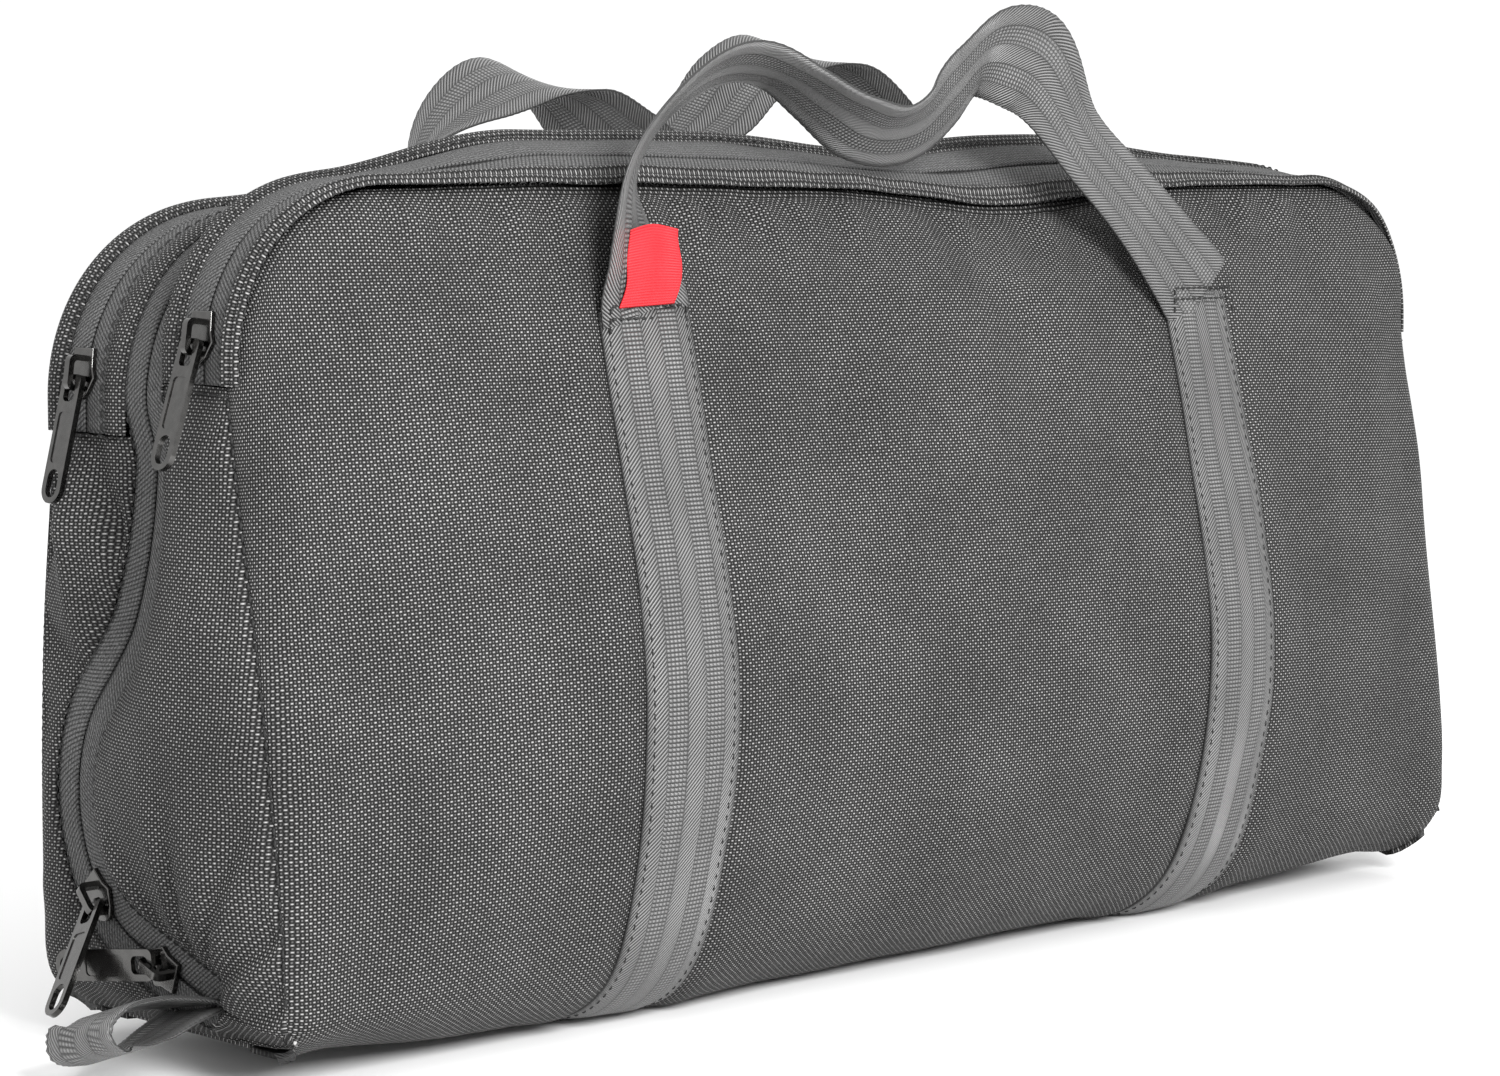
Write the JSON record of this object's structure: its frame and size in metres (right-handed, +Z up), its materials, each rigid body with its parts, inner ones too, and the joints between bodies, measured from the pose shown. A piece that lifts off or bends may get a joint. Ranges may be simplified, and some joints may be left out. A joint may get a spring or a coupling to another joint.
{
  "type": "film changing bag",
  "caption": "Soft zipped carrying bag with two half shells, carry handles of webbing, zips over the top and a stowed light-tight sack with arm sleeves.",
  "frame": {"origin": "middle of the flat underside of the base", "axes": "+Z up, +X along the bag to the end without the zip sliders, +Y to the back"},
  "size_m": [0.4976, 0.1341, 0.2645],
  "materials": {
    "canvas": "coarse plain weave, matt",
    "webbing": "ribbed webbing with a slight sheen",
    "zip_tape": "fine twill",
    "zip_coil": "satin nylon coil",
    "zip_metal": "polished gunmetal plating",
    "lining": "smooth thin lining",
    "flag": "woven ribbon",
    "sack": "soft opaque cloth",
    "elastic": "ribbed elastic"
  },
  "bodies": {
    "rear_half": {"back_panel": "canvas", "base_panel": "canvas", "changing_sack": "sack", "cuff_left": "elastic", "cuff_right": "elastic", "main_zip_coil_rear": "zip_coil", "main_zip_tape_rear": "zip_tape", "rear_end_left": "canvas", "rear_end_right": "canvas", "rear_gusset": "canvas", "rear_lining": "lining", "rear_straps": "webbing", "rear_zip_coils": "zip_coil", "rear_zip_facing": "canvas", "rear_zip_tapes": "zip_tape", "sleeve_left": "sack", "sleeve_right": "sack"},
    "front_half": {"front_panel": "canvas", "front_end_left": "canvas", "front_end_right": "canvas", "front_zip_facing": "canvas", "front_gusset": "canvas", "front_zip_tapes": "zip_tape", "front_zip_coils": "zip_coil", "main_zip_tape_front": "zip_tape", "main_zip_coil_front": "zip_coil", "front_lining": "lining", "front_straps": "webbing"},
    "front_handle": {"front_handle": "webbing", "side_flag": "flag"},
    "rear_handle": {"rear_handle": "webbing"},
    "end_tab": {"end_tab": "webbing"},
    "front_zip_slider": {"front_zip_slider": "zip_metal"},
    "front_zip_pull": {"front_zip_pull": "zip_metal"},
    "rear_zip_slider": {"rear_zip_slider": "zip_metal"},
    "rear_zip_pull": {"rear_zip_pull": "zip_metal"},
    "main_zip_upper_slider": {"main_zip_upper_slider": "zip_metal"},
    "main_zip_upper_pull": {"main_zip_upper_pull": "zip_metal"},
    "main_zip_lower_slider": {"main_zip_lower_slider": "zip_metal"},
    "main_zip_lower_pull": {"main_zip_lower_pull": "zip_metal"}
  },
  "joints": [
    {"name": "main_fold", "type": "hinge", "parent": "rear_half", "child": "front_half", "pos_m": [0, -0.0603, 0.014], "axis": [1, 0, 0], "range_deg": [0, 90]},
    {"name": "front_handle_swing", "type": "hinge", "parent": "front_half", "child": "front_handle", "pos_m": [0, -0.0478, 0.19], "axis": [1, 0, 0], "range_deg": [0, 100]},
    {"name": "rear_handle_swing", "type": "hinge", "parent": "rear_half", "child": "rear_handle", "pos_m": [0, 0.0522, 0.19], "axis": [-1, 0, 0], "range_deg": [0, 100]},
    {"name": "end_tab_flex", "type": "hinge", "parent": "rear_half", "child": "end_tab", "pos_m": [-0.2283, 0, 0.012], "axis": [0, 1, 0], "range_deg": [-2, 6]},
    {"name": "front_zip_run", "type": "hinge", "parent": "front_half", "child": "front_zip_slider", "pos_m": [-0.183, -0.0225, 0.177], "axis": [0, 1, 0], "range_deg": [0, 72]},
    {"name": "rear_zip_run", "type": "hinge", "parent": "rear_half", "child": "rear_zip_slider", "pos_m": [-0.18, 0.028, 0.166], "axis": [0, 1, 0], "range_deg": [0, 72]},
    {"name": "main_zip_upper_run", "type": "hinge", "parent": "rear_half", "child": "main_zip_upper_slider", "pos_m": [-0.228, -0.00401, 0.066], "axis": [1, 0, 0], "range_deg": [0, 66]},
    {"name": "main_zip_lower_run", "type": "slide", "parent": "rear_half", "child": "main_zip_lower_slider", "axis": [0, -0.9489, -0.3156], "range_m": [0, 0.008]},
    {"name": "front_zip_pull_swing", "type": "hinge", "parent": "front_zip_slider", "child": "front_zip_pull", "pos_m": [-0.2309, -0.0225, 0.18252], "axis": [0, 1, 0], "range_deg": [-6, 80]},
    {"name": "rear_zip_pull_swing", "type": "hinge", "parent": "rear_zip_slider", "child": "rear_zip_pull", "pos_m": [-0.23087, 0.028, 0.17194], "axis": [0, 1, 0], "range_deg": [-3, 84]},
    {"name": "main_zip_upper_pull_swing", "type": "hinge", "parent": "main_zip_upper_slider", "child": "main_zip_upper_pull", "pos_m": [-0.2312, 0.02296, 0.03921], "axis": [0, 0.9511, -0.309], "range_deg": [0, 55]},
    {"name": "main_zip_lower_pull_swing", "type": "hinge", "parent": "main_zip_lower_slider", "child": "main_zip_lower_pull", "pos_m": [-0.2312, -0.00226, 0.02653], "axis": [0, 0.1149, 0.9934], "range_deg": [0, 18]}
  ],
  "couplings": [
    {"joint": "main_zip_lower_pull_swing", "follows": "main_zip_upper_pull_swing", "ratio": 0.3}
  ]
}
